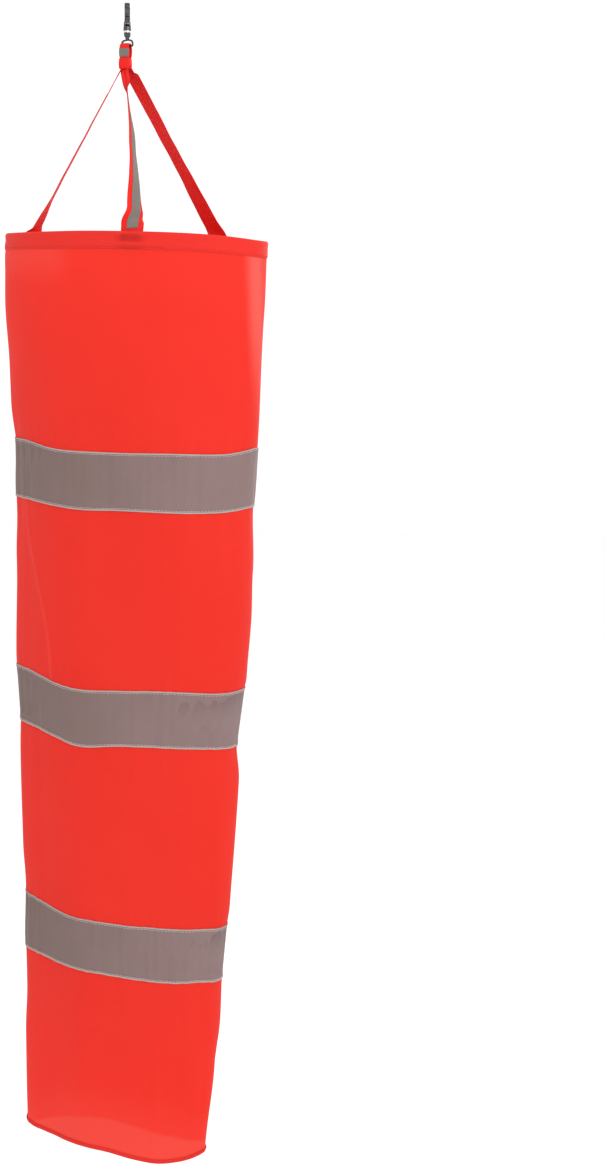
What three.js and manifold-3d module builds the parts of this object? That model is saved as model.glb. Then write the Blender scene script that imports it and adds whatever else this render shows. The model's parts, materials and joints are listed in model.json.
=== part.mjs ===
// A windsock that hangs from a swivel snap hook: a tapered cloth tube with three reflective tapes, a
// stiffened oval mouth, a bridle of three reflective ribbons, and a small hook with a sprung gate and a
// swivelling eye. Millimetres, +Z up. The origin is the top of the hook's throat, the point that the whole
// windsock hangs from. +X is along the wide side of the oval tube, and -Y is its front.
import * as THREE from 'three';
import { mergeVertices } from 'three/addons/utils/BufferGeometryUtils.js';
import Module from 'manifold-3d';

const wasm = await Module();
wasm.setup();

// ---------------------------------------------------------------- driving dimensions

const GAP = 0.3; // left between neighbouring pieces

// The cloth tube, as depths below the mouth's rim.
const TUBE_LENGTH = 860;
const MOUTH = { width: 127, depth: 72 }; // half sizes of the oval inside the cloth
const TAIL = { width: 95, depth: 36 };
const CLOTH = 1.0;
const TAPE_HEIGHT = 51;
const TAPE_MIDDLES = [216, 431, 653]; // as depths below the rim
const TAPE = 0.6;
const TAPES = TAPE_MIDDLES.length;
const CLOTH_TOP = 2.2; // the first length's upper edge, inside the mouth hem's fold
const TUCK = 10; // how far a cloth length reaches up inside the one above it
const TUCK_STEP = 1.4; // half of how much narrower it is there, each side
const BEND_LIMIT = 23; // degrees that each cloth length has room to tilt inside the one above it
const AROUND = 56; // facets round the tube

// The hem round the mouth, a folded strip over the cloth edge and a flat hoop.
const HEM_HEIGHT = 13;
const HEM = 0.8;
const HOOP = { top: 1.4, height: 9.5, inner: -1.5, outer: -0.3, buttGap: 0.8 };
const JOINER = { top: 2.5, height: 7.3, inner: -2.4, outer: -1.8, width: 36 };
const HEM_INNER = -2.7; // inside of the hem's cavity, as an offset from the cloth's inner face
const HEM_OUTER = CLOTH + GAP;
const TAIL_HEM_HEIGHT = 4;
const SEAM = { width: 9, inner: -0.9, outer: -GAP, clearAbove: 16, clearBelow: 9 };

// The hook, in its own plane (Y across, Z up). Its throat's top is the origin.
const THROAT_RADIUS = 3.2;
const THROAT_DROP = 13.1;
const CROWN = 3.0;
const HOOK_THICKNESS = 5.0;
const CHEEK_RADIUS = 6.2;
const BASE_Z = -13.6;
const BOSS_RADIUS = 3.6;
const BOSS_BOTTOM = -21.3;
const HOOK_TURN = 27; // degrees that the hook stands turned on its swivel
const GATE_PIN = { y: -3.5, z: -15.5, radius: 0.8 };
const GATE_TIP_Z = -2.6;
const GATE_SLOT = 3.0;

// The swivelling eye: a shank with a peened head, a collar and a D-shaped ring with a straight bar.
const SHANK_RADIUS = 1.0;
const HEAD = { radius: 1.7, top: -16.9, bottom: -18.1 };
const SEAT_Z = -19.1;
const BOSS_WASHER = { radius: 3.4, top: -21.6, bottom: -23.1 }; // between the boss and the collar
const COLLAR = { radius: 3.2, top: -23.4, bottom: -26.5 };
const RING = { halfWidth: 4.7, top: -30.1, wire: 1.5 };
const BAR_Z = -34.6; // axis of the bar that the ribbon loop hangs on

// The bridle. Its own frame has its origin on the bar's axis.
const RIM_DROP = 169.8;
const RIBBON = 0.9;
const RIBBON_WIDTH = 20;
const FOLDED_WIDTH = 8.6; // the ribbon is folded in half where it passes the eye
const STRIPE_WIDTH = 10;
const STRIPE = 0.4;
const LOOP_RADIUS = 1.9;
const LOOP_DROP = 19;
const STACK_TOP = 5.5;
const WRAP = { top: 10.5, bottom: 20, thickness: 0.8 };
const APEX_STITCH = { halfWidth: 4, halfHeight: 3.4, line: 0.8 };
const TAB_STITCH = { width: 14, height: 9, line: 0.8 };
const TUBE_OFFSET = 14; // the tube's axis lies this far from the apex, so the tube leans as it hangs
const LEAN = 1.47; // degrees, which brings the tube's weight under the bar
const TAB = 12; // length of ribbon sewn down inside the hem
const FREE_STEPS = 40;
const TAB_OFFSET = HEM_INNER - HEM - 1.5 * GAP - RIBBON / 2;

// Where each ribbon meets the rim (degrees round the oval, 0 at +X and 90 at the front), its layer in the
// stack, the direction (degrees round the vertical) that its outer face looks in once it lies flat in the
// stack, and how it twists on the way up: [share of the free length, degrees away from flat on the wall].
const STRAPS = [
  {
    name: 'front_strap', angle: 75, layer: -1, faces: 90,
    turn: [[0, 0], [0.12, 50], [0.28, 78], [0.5, 90], [0.86, 110]],
  },
  {
    name: 'left_strap', angle: 196, layer: 0, faces: 270,
    turn: [[0, 0], [0.08, 34], [0.3, 52], [0.88, 58]],
  },
  {
    name: 'right_strap', angle: -61, layer: 1, faces: 90,
    turn: [[0, 0], [0.1, -14], [0.5, -24], [0.87, -22]],
  },
];

// ---------------------------------------------------------------- materials

function finish(color, roughness, metalness = 0) {
  return new THREE.MeshStandardMaterial({ color, roughness, metalness });
}
const CLOTH_RED = finish(0xf5372b, 0.8);
const HEM_RED = finish(0xee352a, 0.8);
const RIBBON_RED = finish(0xe22a22, 0.75);
const REFLECTIVE = finish(0x8f7f7d, 0.45);
const THREAD_RED = finish(0xd8322a, 0.7);
const HOOP_WHITE = finish(0xe8e6e0, 0.5);
const CHROME = finish(0xc9ccce, 0.15, 1);
const STEEL = finish(0x9a9c9e, 0.3, 1);

// ---------------------------------------------------------------- helpers

const rad = THREE.MathUtils.degToRad;
const lerp = THREE.MathUtils.lerp;

function mesh(name, geometry, material) {
  const made = new THREE.Mesh(geometry, material);
  made.name = name;
  return made;
}

// A closed geometry as a manifold-3d solid, for cutting and joining.
function solid(geometry) {
  const bare = geometry.clone();
  bare.deleteAttribute('normal');
  bare.deleteAttribute('uv');
  const merged = mergeVertices(bare, 1e-4);
  const vertProperties = merged.attributes.position.array;
  const triVerts = new Uint32Array(merged.index.array);
  return new wasm.Manifold(new wasm.Mesh({ numProp: 3, vertProperties, triVerts }));
}

function geometryOf(manifold) {
  const made = manifold.getMesh();
  const geometry = new THREE.BufferGeometry();
  geometry.setAttribute('position', new THREE.BufferAttribute(made.vertProperties, 3));
  geometry.setIndex(new THREE.BufferAttribute(made.triVerts, 1));
  geometry.computeVertexNormals();
  return geometry;
}

function box(x, y, z, [cx, cy, cz] = [0, 0, 0]) {
  return new THREE.BoxGeometry(x, y, z).translate(cx, cy, cz);
}

// A cylinder along Z between two heights; radii may differ.
function post(radiusTop, radiusBottom, top, bottom, segments = 24) {
  const height = top - bottom;
  return new THREE.CylinderGeometry(radiusTop, radiusBottom, height, segments)
    .rotateX(Math.PI / 2)
    .translate(0, 0, (top + bottom) / 2);
}

// A cylinder along X.
function pinAlongX(radius, length, y, z, segments = 20) {
  return new THREE.CylinderGeometry(radius, radius, length, segments)
    .rotateZ(Math.PI / 2)
    .translate(0, y, z);
}

// A plate whose outline is drawn in the YZ plane, centred on X = 0, with rounded edges.
function plateInYZ(shape, thickness, bevel) {
  const geometry = new THREE.ExtrudeGeometry(shape, {
    depth: thickness - 2 * bevel, bevelEnabled: bevel > 0, bevelThickness: bevel, bevelSize: bevel,
    bevelOffset: -bevel, bevelSegments: 2, curveSegments: 16,
  });
  geometry.translate(0, 0, -(thickness - 2 * bevel) / 2);
  return geometry.rotateX(Math.PI / 2).rotateZ(Math.PI / 2);
}

// ---------------------------------------------------------------- the oval tube

// Half sizes of the cloth's inner face at a depth below the rim, step mm wider than the plain taper.
function oval(depth, step = { width: 0, depth: 0 }) {
  const share = depth / TUBE_LENGTH;
  return {
    width: lerp(MOUTH.width, TAIL.width, share) + step.width,
    depth: lerp(MOUTH.depth, TAIL.depth, share) + step.depth,
  };
}

// The depth of a tape's lower edge, which is where one cloth length ends and the next hangs from it. Tapes
// are numbered from 1 at the mouth.
const tapeBottom = (number) => TAPE_MIDDLES[number - 1] + TAPE_HEIGHT / 2;

// How far two cloth lengths step apart at a joint, each way, so that the lower one still fits inside the
// upper one when it tilts to its limit.
function jointStep(number) {
  const limit = Math.cos(rad(BEND_LIMIT));
  const { depth } = oval(tapeBottom(number));
  return { width: TUCK_STEP, depth: (depth * (1 - limit) + CLOTH + 2 * GAP) / (1 + limit) };
}

// The cloth lengths: number 0 is at the mouth and number 3 at the tail.
function clothLength(number) {
  const first = number === 0;
  const last = number === TAPES;
  const top = first ? CLOTH_TOP : tapeBottom(number) - TUCK;
  const bottom = last ? TUBE_LENGTH - HEM - GAP : tapeBottom(number + 1);
  const above = first ? { width: 0, depth: 0 } : jointStep(number);
  const below = last ? { width: 0, depth: 0 } : jointStep(number + 1);
  const section = (depth) => {
    const share = (depth - top) / (bottom - top);
    const width = lerp(-above.width, below.width, share);
    return oval(depth, { width, depth: lerp(-above.depth, below.depth, share) });
  };
  return { top, bottom, section };
}

// A ring of the tube: profile points are [offset outwards from the cloth's inner face, depth below the rim],
// listed anticlockwise with the outside to the right. It is lathed round and then flattened to the oval.
function tubeRing(profile, section, options = {}) {
  const { start = 0, sweep = 2 * Math.PI, segments = AROUND } = options;
  const closed = [...profile, profile[0]];
  const points = closed.map(([offset, depth]) => new THREE.Vector2(section(depth).width + offset, -depth));
  const geometry = new THREE.LatheGeometry(points, segments, start, sweep).rotateX(Math.PI / 2);
  const position = geometry.attributes.position;
  for (let i = 0; i < position.count; i++) {
    const [x, y, z] = [position.getX(i), position.getY(i), position.getZ(i)];
    const radius = Math.hypot(x, y);
    const size = section(-z);
    position.setY(i, (y * (size.depth + radius - size.width)) / radius);
  }
  return geometry;
}

function wallProfile(inner, outer, top, bottom) {
  return [[inner, bottom], [outer, bottom], [outer, top], [inner, top]];
}

function clothMesh(number) {
  const { top, bottom, section } = clothLength(number);
  const profile = wallProfile(0, CLOTH, top, bottom);
  return mesh(`cloth_length_${number + 1}`, tubeRing(profile, section), CLOTH_RED);
}

function tapeMesh(number) {
  const { section } = clothLength(number);
  const bottom = tapeBottom(number + 1);
  const inner = CLOTH + GAP;
  const profile = wallProfile(inner, inner + TAPE, bottom - TAPE_HEIGHT, bottom);
  return mesh(`reflective_tape_${number + 1}`, tubeRing(profile, section), REFLECTIVE);
}

// ---------------------------------------------------------------- the mouth

function mouthHem() {
  const outside = HEM_OUTER + HEM;
  const inside = HEM_INNER - HEM;
  const corner = 0.3;
  const profile = [
    [inside, HEM_HEIGHT], [HEM_INNER, HEM_HEIGHT], [HEM_INNER, HEM], [HEM_OUTER, HEM],
    [HEM_OUTER, HEM_HEIGHT], [outside, HEM_HEIGHT], [outside, corner], [outside - corner, 0],
    [inside + corner, 0], [inside, corner],
  ];
  return mesh('mouth_hem', tubeRing(profile, clothLength(0).section), HEM_RED);
}

// A flat strip bent to the oval, with its ends butted together at the back.
function mouthHoop() {
  const profile = wallProfile(HOOP.inner, HOOP.outer, HOOP.top, HOOP.top + HOOP.height);
  const ring = tubeRing(profile, clothLength(0).section);
  const gap = box(HOOP.buttGap, 12, 4 * HOOP.height, [0, MOUTH.depth, -HOOP.height / 2]);
  return mesh('mouth_hoop', geometryOf(solid(ring).subtract(solid(gap))), HOOP_WHITE);
}

// The part of a ring that lies within a width across the middle of the back.
function backOf(ring, width) {
  const behind = box(width, 2 * MOUTH.depth, 3 * TUBE_LENGTH, [0, MOUTH.depth + 5, 0]);
  return geometryOf(solid(ring).intersect(solid(behind)));
}

// The short plate that joins the hoop's ends, on its inner side.
function hoopJoiner() {
  const profile = wallProfile(JOINER.inner, JOINER.outer, JOINER.top, JOINER.top + JOINER.height);
  return mesh('hoop_joiner', backOf(tubeRing(profile, clothLength(0).section), JOINER.width), STEEL);
}

// The folded seam down the inside of the back, where the flat cloth is sewn into a tube.
function backSeam(number) {
  const { top, bottom, section } = clothLength(number);
  const from = number === 0 ? top + SEAM.clearAbove : top;
  const profile = wallProfile(SEAM.inner, SEAM.outer, from, bottom - SEAM.clearBelow);
  return mesh(`back_seam_${number + 1}`, backOf(tubeRing(profile, section), SEAM.width), CLOTH_RED);
}

function tailHem() {
  const section = clothLength(TAPES).section;
  const outside = CLOTH + GAP + TAPE;
  const inside = -GAP - TAPE;
  const top = TUBE_LENGTH - TAIL_HEM_HEIGHT;
  const floor = TUBE_LENGTH - HEM;
  const profile = [
    [inside, TUBE_LENGTH], [outside, TUBE_LENGTH], [outside, top], [CLOTH + GAP, top], [CLOTH + GAP, floor],
    [-GAP, floor], [-GAP, top], [inside, top],
  ];
  return mesh('tail_hem', tubeRing(profile, section), HEM_RED);
}

// ---------------------------------------------------------------- the ribbons

// Angles between keyed values, eased so that a ribbon has no kink.
function keyed(keys, share) {
  const next = Math.max(1, keys.findIndex(([at]) => at >= share));
  const [[from, a], [to, b]] = [keys[next - 1], keys[next]];
  return lerp(a, b, THREE.MathUtils.smoothstep(share, from, to));
}

// Where a ribbon's middle lies on the inside of the hem, at a depth below the rim.
function tabPoint(degrees, below) {
  const { width, depth } = oval(below, { width: TAB_OFFSET, depth: TAB_OFFSET });
  const [x, y] = [width * Math.cos(rad(degrees)), depth * Math.sin(rad(degrees))];
  return new THREE.Vector3(TUBE_OFFSET + x, -y, -RIM_DROP - below);
}

// The outward normal of the wall there.
function wallNormal(degrees) {
  const { width, depth } = oval(0);
  return new THREE.Vector3(depth * Math.cos(rad(degrees)), -width * Math.sin(rad(degrees)), 0).normalize();
}

// The line that a ribbon's middle follows from its sewn tab, over the rim and up into the stack.
function strapPath({ angle, layer }) {
  const stack = (drop) => new THREE.Vector3(0, layer * (RIBBON + 0.325), -drop);
  const exit = stack(WRAP.bottom + 2);
  const clear = tabPoint(angle, -3);
  const controls = [0.02, 0.3, 0.85, 1].map((share) => clear.clone().lerp(exit, share));
  const free = new THREE.CatmullRomCurve3(controls, false, 'centripetal');
  return { tabEnd: tabPoint(angle, TAB), rim: tabPoint(angle, 0), free, stackEnd: stack(STACK_TOP) };
}

// Places the cross-sections of a straight strip along the ribbon's path: a box whose long side has one row
// of vertices for each station.
function ribbonAlong(strap, width, thickness, offset, from, to) {
  const { tabEnd, rim, free, stackEnd } = strapPath(strap);
  const normal = wallNormal(strap.angle);
  const stations = [];
  const station = (centre, along, degrees, share) => {
    const outward = normal.clone().addScaledVector(along, -normal.dot(along)).normalize();
    outward.applyAxisAngle(along, rad(degrees));
    stations.push({ centre, outward, across: along.clone().cross(outward), share });
  };
  const up = new THREE.Vector3(0, 0, 1);
  station(tabEnd, up, 0, -0.1);
  station(rim, up, 0, 0);
  const stackTurn = THREE.MathUtils.euclideanModulo(
    strap.faces - THREE.MathUtils.radToDeg(Math.atan2(normal.y, normal.x)) + 90, 360,
  ) - 90;
  const turn = [...strap.turn, [0.97, stackTurn], [1, stackTurn]];
  for (let i = 0; i <= FREE_STEPS; i++) {
    const share = i / FREE_STEPS;
    const along = free.getTangentAt(share).lerp(up, THREE.MathUtils.smoothstep(share, 0.93, 1)).normalize();
    station(free.getPointAt(share), along, keyed(turn, share), 0.02 + 0.98 * share);
  }
  station(stackEnd, up, stackTurn, 1.2);
  const used = stations.filter(({ share }) => share >= from && share <= to);
  const rows = used.length - 1;
  const geometry = new THREE.BoxGeometry(1, 1, 1, 4, 1, rows);
  const position = geometry.attributes.position;
  const vertex = new THREE.Vector3();
  const bend = wallBend(strap.angle);
  for (let i = 0; i < position.count; i++) {
    vertex.fromBufferAttribute(position, i);
    const { centre, outward, across, share } = used[Math.round((vertex.z + 0.5) * rows)];
    const folded = THREE.MathUtils.smoothstep(share, 0.76, 0.97);
    const x = vertex.x * lerp(width, (width * FOLDED_WIDTH) / RIBBON_WIDTH, folded);
    const curl = (bend * x * x * (1 - THREE.MathUtils.smoothstep(share, 0.02, 0.3))) / 2;
    const placed = centre.clone()
      .addScaledVector(across, x)
      .addScaledVector(outward, -vertex.y * thickness + offset - curl);
    position.setXYZ(i, placed.x, placed.y, placed.z);
  }
  return geometry;
}

// How sharply the oval wall bends where a ribbon is sewn to it, per mm.
function wallBend(degrees) {
  const { width, depth } = oval(0, { width: TAB_OFFSET, depth: TAB_OFFSET });
  const [c, s] = [Math.cos(rad(degrees)), Math.sin(rad(degrees))];
  return (width * depth) / Math.hypot(width * s, depth * c) ** 3;
}

function strapMeshes(strap) {
  const ribbon = ribbonAlong(strap, RIBBON_WIDTH, RIBBON, 0, -1, 2);
  const lift = RIBBON / 2 + GAP + STRIPE / 2;
  const stripe = ribbonAlong(strap, STRIPE_WIDTH, STRIPE, lift, 0.01, 0.86);
  return [
    mesh(strap.name, ribbon, RIBBON_RED),
    mesh(`${strap.name}_stripe`, stripe, REFLECTIVE),
    tabStitch(strap),
  ];
}

// A flat plate bent to lie against the inner face of a ribbon's tab.
function onTab(strap, width, height, thickness) {
  const normal = wallNormal(strap.angle);
  const across = new THREE.Vector3(0, 0, 1).cross(normal);
  const bend = wallBend(strap.angle);
  const geometry = new THREE.BoxGeometry(width, thickness, height, 6, 1, 1);
  const position = geometry.attributes.position;
  const vertex = new THREE.Vector3();
  for (let i = 0; i < position.count; i++) {
    vertex.fromBufferAttribute(position, i);
    const inward = RIBBON / 2 + GAP + STRIPE / 2 + (bend * vertex.x * vertex.x) / 2;
    const placed = tabPoint(strap.angle, TAB / 2 - vertex.z)
      .addScaledVector(across, vertex.x)
      .addScaledVector(normal, -vertex.y - inward);
    position.setXYZ(i, placed.x, placed.y, placed.z);
  }
  return geometry;
}

// The rectangle of stitching that holds a ribbon's tab to the hem.
function tabStitch(strap) {
  const { width, height, line } = TAB_STITCH;
  const inside = onTab(strap, width - 2 * line, height - 2 * line, 8 * STRIPE);
  const frame = solid(onTab(strap, width, height, STRIPE)).subtract(solid(inside));
  return mesh(strap.name.replace('strap', 'tab_stitch'), geometryOf(frame), THREAD_RED);
}

// The folded ribbon that goes over the eye's bar, drawn as a hairpin in the YZ plane.
function hairpin(name, innerRadius, thickness, width, drop, material) {
  const outer = innerRadius + thickness;
  const shape = new THREE.Shape();
  shape.moveTo(outer, -drop);
  shape.lineTo(outer, 0);
  shape.absarc(0, 0, outer, 0, Math.PI, false);
  shape.lineTo(-outer, -drop);
  shape.lineTo(-innerRadius, -drop);
  shape.lineTo(-innerRadius, 0);
  shape.absarc(0, 0, innerRadius, Math.PI, 0, true);
  shape.lineTo(innerRadius, -drop);
  shape.closePath();
  return mesh(name, plateInYZ(shape, width, 0), material);
}

// A short length of ribbon sewn round the stack where the three ribbons leave it.
function apexWrap() {
  const inner = { x: FOLDED_WIDTH / 2 + GAP, y: LOOP_RADIUS + RIBBON + GAP };
  const height = WRAP.bottom - WRAP.top;
  const middle = -(WRAP.top + WRAP.bottom) / 2;
  const outer = { x: inner.x + WRAP.thickness, y: inner.y + WRAP.thickness };
  const outside = box(2 * outer.x, 2 * outer.y, height, [0, 0, middle]);
  const inside = box(2 * inner.x, 2 * inner.y, height + 2, [0, 0, middle]);
  return mesh('apex_wrap', geometryOf(solid(outside).subtract(solid(inside))), RIBBON_RED);
}

// The rectangle of stitching on the front or back of that sleeve.
function apexStitch(name, side) {
  const { halfWidth, halfHeight, line } = APEX_STITCH;
  const corner = (x, z) => new THREE.Vector2(x, z);
  const corners = (x, z) => [corner(-x, -z), corner(x, -z), corner(x, z), corner(-x, z)];
  const frame = new THREE.Shape(corners(halfWidth, halfHeight));
  frame.holes.push(new THREE.Path(corners(halfWidth - line, halfHeight - line)));
  const geometry = new THREE.ExtrudeGeometry(frame, { depth: STRIPE, bevelEnabled: false });
  const made = mesh(name, geometry.rotateX(Math.PI / 2), THREAD_RED);
  const face = LOOP_RADIUS + RIBBON + GAP + WRAP.thickness + GAP;
  made.position.set(0, side < 0 ? -face : face + STRIPE, -(WRAP.top + WRAP.bottom) / 2);
  return made;
}

// ---------------------------------------------------------------- the hook

// The claw's outline in its own plane: x is Y in the part's frame, y is Z.
function hookOutline() {
  const shape = new THREE.Shape();
  const middle = -THROAT_RADIUS;
  const top = middle + THROAT_RADIUS + CROWN;
  shape.moveTo(CHEEK_RADIUS - 2.6, BASE_Z - 3.6);
  shape.quadraticCurveTo(CHEEK_RADIUS, BASE_Z - 2.4, CHEEK_RADIUS, BASE_Z + 2);
  shape.lineTo(CHEEK_RADIUS, middle);
  shape.bezierCurveTo(CHEEK_RADIUS, top - 2, CHEEK_RADIUS - 2.8, top, 0.2, top);
  shape.bezierCurveTo(-3.4, top, -CHEEK_RADIUS - 0.6, top - 2.2, -CHEEK_RADIUS, GATE_TIP_Z);
  shape.lineTo(-CHEEK_RADIUS + 0.6, GATE_TIP_Z - 1.2);
  shape.lineTo(-CHEEK_RADIUS, BASE_Z + 0.6);
  shape.quadraticCurveTo(-CHEEK_RADIUS, BASE_Z - 2.6, -CHEEK_RADIUS + 2.6, BASE_Z - 3.6);
  shape.closePath();
  return shape;
}

function throatOutline() {
  const shape = new THREE.Shape();
  const floor = -THROAT_DROP + 1.2;
  shape.moveTo(THROAT_RADIUS, floor);
  shape.lineTo(THROAT_RADIUS, -THROAT_RADIUS);
  shape.absarc(0, -THROAT_RADIUS, THROAT_RADIUS, 0, Math.PI, false);
  shape.lineTo(-THROAT_RADIUS, floor);
  shape.quadraticCurveTo(-THROAT_RADIUS, floor - 1.2, -THROAT_RADIUS + 1.2, floor - 1.2);
  shape.lineTo(THROAT_RADIUS - 1.2, floor - 1.2);
  shape.quadraticCurveTo(THROAT_RADIUS, floor - 1.2, THROAT_RADIUS, floor);
  return shape;
}

// The space in the claw that the gate fills and swings through.
function gateRoom() {
  const outer = -CHEEK_RADIUS - 3;
  const tall = GATE_TIP_Z - BASE_Z;
  const mouth = box(HOOK_THICKNESS + 2, 6, tall, [0, outer + 3 + 0.2, (GATE_TIP_Z + BASE_Z) / 2]);
  const slot = box(GATE_SLOT, 7.2, 5.6, [0, outer + 5.2, BASE_Z - 1.6]);
  return solid(mouth).add(solid(slot));
}

function hookBody() {
  const plate = solid(plateInYZ(hookOutline(), HOOK_THICKNESS, 1.0));
  const throat = solid(plateInYZ(throatOutline(), HOOK_THICKNESS + 4, 0));
  const boss = solid(post(BOSS_RADIUS - 0.5, BOSS_RADIUS, BASE_Z, BOSS_BOTTOM));
  const headRoom = solid(post(HEAD.radius + 0.25, HEAD.radius + 0.25, -THROAT_DROP + 1, SEAT_Z));
  const shankRoom = solid(post(SHANK_RADIUS + 0.25, SHANK_RADIUS + 0.25, SEAT_Z + 1, BOSS_BOTTOM - 1));
  const pinHole = solid(pinAlongX(GATE_PIN.radius + 0.05, HOOK_THICKNESS + 4, GATE_PIN.y, GATE_PIN.z));
  const body = plate.subtract(throat).add(boss).subtract(gateRoom())
    .subtract(headRoom).subtract(shankRoom).subtract(pinHole);
  return mesh('hook_body', geometryOf(body), CHROME);
}

// The gate: a lever from its pin up to the claw's nose, with a thumb lug on its outer side.
function gateLever() {
  const blade = new THREE.Shape();
  const tip = GATE_TIP_Z - GAP - 1.4;
  blade.moveTo(-CHEEK_RADIUS + 0.5, BASE_Z + 1.4);
  blade.lineTo(-CHEEK_RADIUS - 0.2, BASE_Z + 3);
  blade.quadraticCurveTo(-CHEEK_RADIUS - 2.2, BASE_Z + 4.2, -CHEEK_RADIUS - 1.6, BASE_Z + 5.4);
  blade.lineTo(-CHEEK_RADIUS - 0.1, BASE_Z + 6);
  blade.lineTo(-CHEEK_RADIUS + 0.6, tip + 1.4);
  blade.lineTo(-THROAT_RADIUS - 0.4, tip + 0.8);
  blade.lineTo(-THROAT_RADIUS - 0.2, BASE_Z + 1.4);
  blade.closePath();
  const upper = solid(plateInYZ(blade, HOOK_THICKNESS - 0.8, 0.3));
  const tongueWidth = GATE_SLOT - 2 * GAP;
  const tongue = solid(box(tongueWidth, 2.3, 4.4, [0, GATE_PIN.y - 0.6, BASE_Z]));
  const knuckle = solid(pinAlongX(1.75, tongueWidth, GATE_PIN.y, GATE_PIN.z));
  const bore = solid(pinAlongX(GATE_PIN.radius + 0.06, 10, GATE_PIN.y, GATE_PIN.z));
  const springRoom = solid(box(1.3, 4.2, 4.6, [0.3, GATE_PIN.y + 0.4, GATE_PIN.z + 0.2]));
  const lever = upper.add(tongue).add(knuckle).subtract(bore).subtract(springRoom);
  return mesh('gate_lever', geometryOf(lever), CHROME);
}

function gatePin() {
  const length = HOOK_THICKNESS - 0.4;
  return mesh('gate_pin', pinAlongX(GATE_PIN.radius, length, GATE_PIN.y, GATE_PIN.z), STEEL);
}

// A torsion spring of two turns round the gate's pin, with one leg on the gate and one on the hook.
class SpringCurve extends THREE.Curve {
  getPoint(t, target = new THREE.Vector3()) {
    const turns = 2.25;
    const radius = 1.12;
    const angle = Math.PI * 0.5 + 2 * Math.PI * turns * t;
    const x = 0.3 + lerp(-0.34, 0.34, t);
    return target.set(x, GATE_PIN.y + radius * Math.cos(angle), GATE_PIN.z + radius * Math.sin(angle));
  }
}

function gateSpring() {
  const section = new THREE.Shape();
  section.absarc(0, 0, 0.13, 0, 2 * Math.PI, false);
  const geometry = new THREE.ExtrudeGeometry(section, {
    steps: 40, curveSegments: 3, bevelEnabled: false, extrudePath: new SpringCurve(),
  });
  return mesh('gate_spring', geometry, STEEL);
}

// ---------------------------------------------------------------- the eye

function ringOutline(halfWidth, top, bottom, corner) {
  const shape = new THREE.Shape();
  const shoulder = lerp(top, bottom, 0.62);
  shape.moveTo(-halfWidth + corner, bottom);
  shape.lineTo(halfWidth - corner, bottom);
  shape.absarc(halfWidth - corner, bottom + corner, corner, -Math.PI / 2, 0, false);
  shape.lineTo(halfWidth, shoulder);
  shape.bezierCurveTo(halfWidth, top - 0.6, halfWidth * 0.6, top, 0, top);
  shape.bezierCurveTo(-halfWidth * 0.6, top, -halfWidth, top - 0.6, -halfWidth, shoulder);
  shape.lineTo(-halfWidth, bottom + corner);
  shape.absarc(-halfWidth + corner, bottom + corner, corner, Math.PI, Math.PI * 1.5, false);
  return shape;
}

function swivelEye() {
  const { wire, halfWidth, top } = RING;
  const outline = ringOutline(halfWidth + wire, top + wire, BAR_Z - wire / 2, 1.6);
  const ring = new THREE.ExtrudeGeometry(outline, {
    depth: wire - 1, bevelThickness: 0.5, bevelSize: 0.5, bevelOffset: -0.5, bevelSegments: 2,
    curveSegments: 8,
  }).translate(0, 0, -(wire - 1) / 2).rotateX(Math.PI / 2);
  const hole = new THREE.ExtrudeGeometry(ringOutline(halfWidth, top, BAR_Z + wire / 2, 0.4), {
    depth: 8, bevelEnabled: false, curveSegments: 8,
  }).translate(0, 0, -4).rotateX(Math.PI / 2);
  const neck = solid(post(COLLAR.radius - 0.9, 1.2, COLLAR.bottom + 0.2, top + wire / 3));
  const collar = solid(post(COLLAR.radius, COLLAR.radius - 0.4, COLLAR.top, COLLAR.bottom));
  const shank = solid(post(SHANK_RADIUS, SHANK_RADIUS, HEAD.bottom + 0.4, COLLAR.top - 0.5));
  const head = solid(post(HEAD.radius - 0.5, HEAD.radius, HEAD.top, HEAD.bottom));
  const made = solid(ring).subtract(solid(hole)).add(neck).add(collar).add(shank).add(head);
  return mesh('swivel_eye', geometryOf(made), CHROME);
}

// A flat ring round the eye's shank.
function shankRing(name, radius, top, bottom) {
  const inner = SHANK_RADIUS + GAP;
  const points = [[inner, bottom], [radius, bottom], [radius, top], [inner, top], [inner, bottom]];
  const profile = points.map((point) => new THREE.Vector2(...point));
  return mesh(name, new THREE.LatheGeometry(profile, 24).rotateX(Math.PI / 2), STEEL);
}

// ---------------------------------------------------------------- assembly

const windsock = new THREE.Group();
const hook = new THREE.Group();
hook.rotation.z = rad(HOOK_TURN);
hook.add(hookBody(), gateLever(), gatePin(), gateSpring());
windsock.add(
  hook,
  swivelEye(),
  shankRing('swivel_washer', HEAD.radius, HEAD.bottom - GAP, SEAT_Z + GAP),
  shankRing('boss_washer', BOSS_WASHER.radius, BOSS_WASHER.top, BOSS_WASHER.bottom),
);

const hanging = new THREE.Group();
hanging.position.z = BAR_Z;
hanging.rotation.y = rad(LEAN);
hanging.add(
  hairpin('hang_loop', LOOP_RADIUS, RIBBON, FOLDED_WIDTH, LOOP_DROP, RIBBON_RED),
  hairpin('hang_loop_stripe', LOOP_RADIUS + RIBBON + GAP, STRIPE, 7.4, WRAP.top - GAP, REFLECTIVE),
  apexWrap(),
  apexStitch('apex_stitch_front', -1),
  apexStitch('apex_stitch_back', 1),
);
STRAPS.forEach((strap) => hanging.add(...strapMeshes(strap)));

const tube = new THREE.Group();
tube.position.set(TUBE_OFFSET, 0, -RIM_DROP);
tube.add(mouthHem(), mouthHoop(), hoopJoiner(), tailHem());
for (let number = 0; number <= TAPES; number++) tube.add(clothMesh(number), backSeam(number));
for (let number = 0; number < TAPES; number++) tube.add(tapeMesh(number));
hanging.add(tube);
windsock.add(hanging);

export default windsock;
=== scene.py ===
# A windsock that hangs from a swivel snap hook, dressed over its CAD model: fluorescent cloth, reflective
# tapes, hems, ribbons and real stitches. Metres, in the CAD model's frame. The first length's pieces, the
# ribbons, the loop and the tail's hem ride on CAD bodies.
import json
import math

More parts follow.
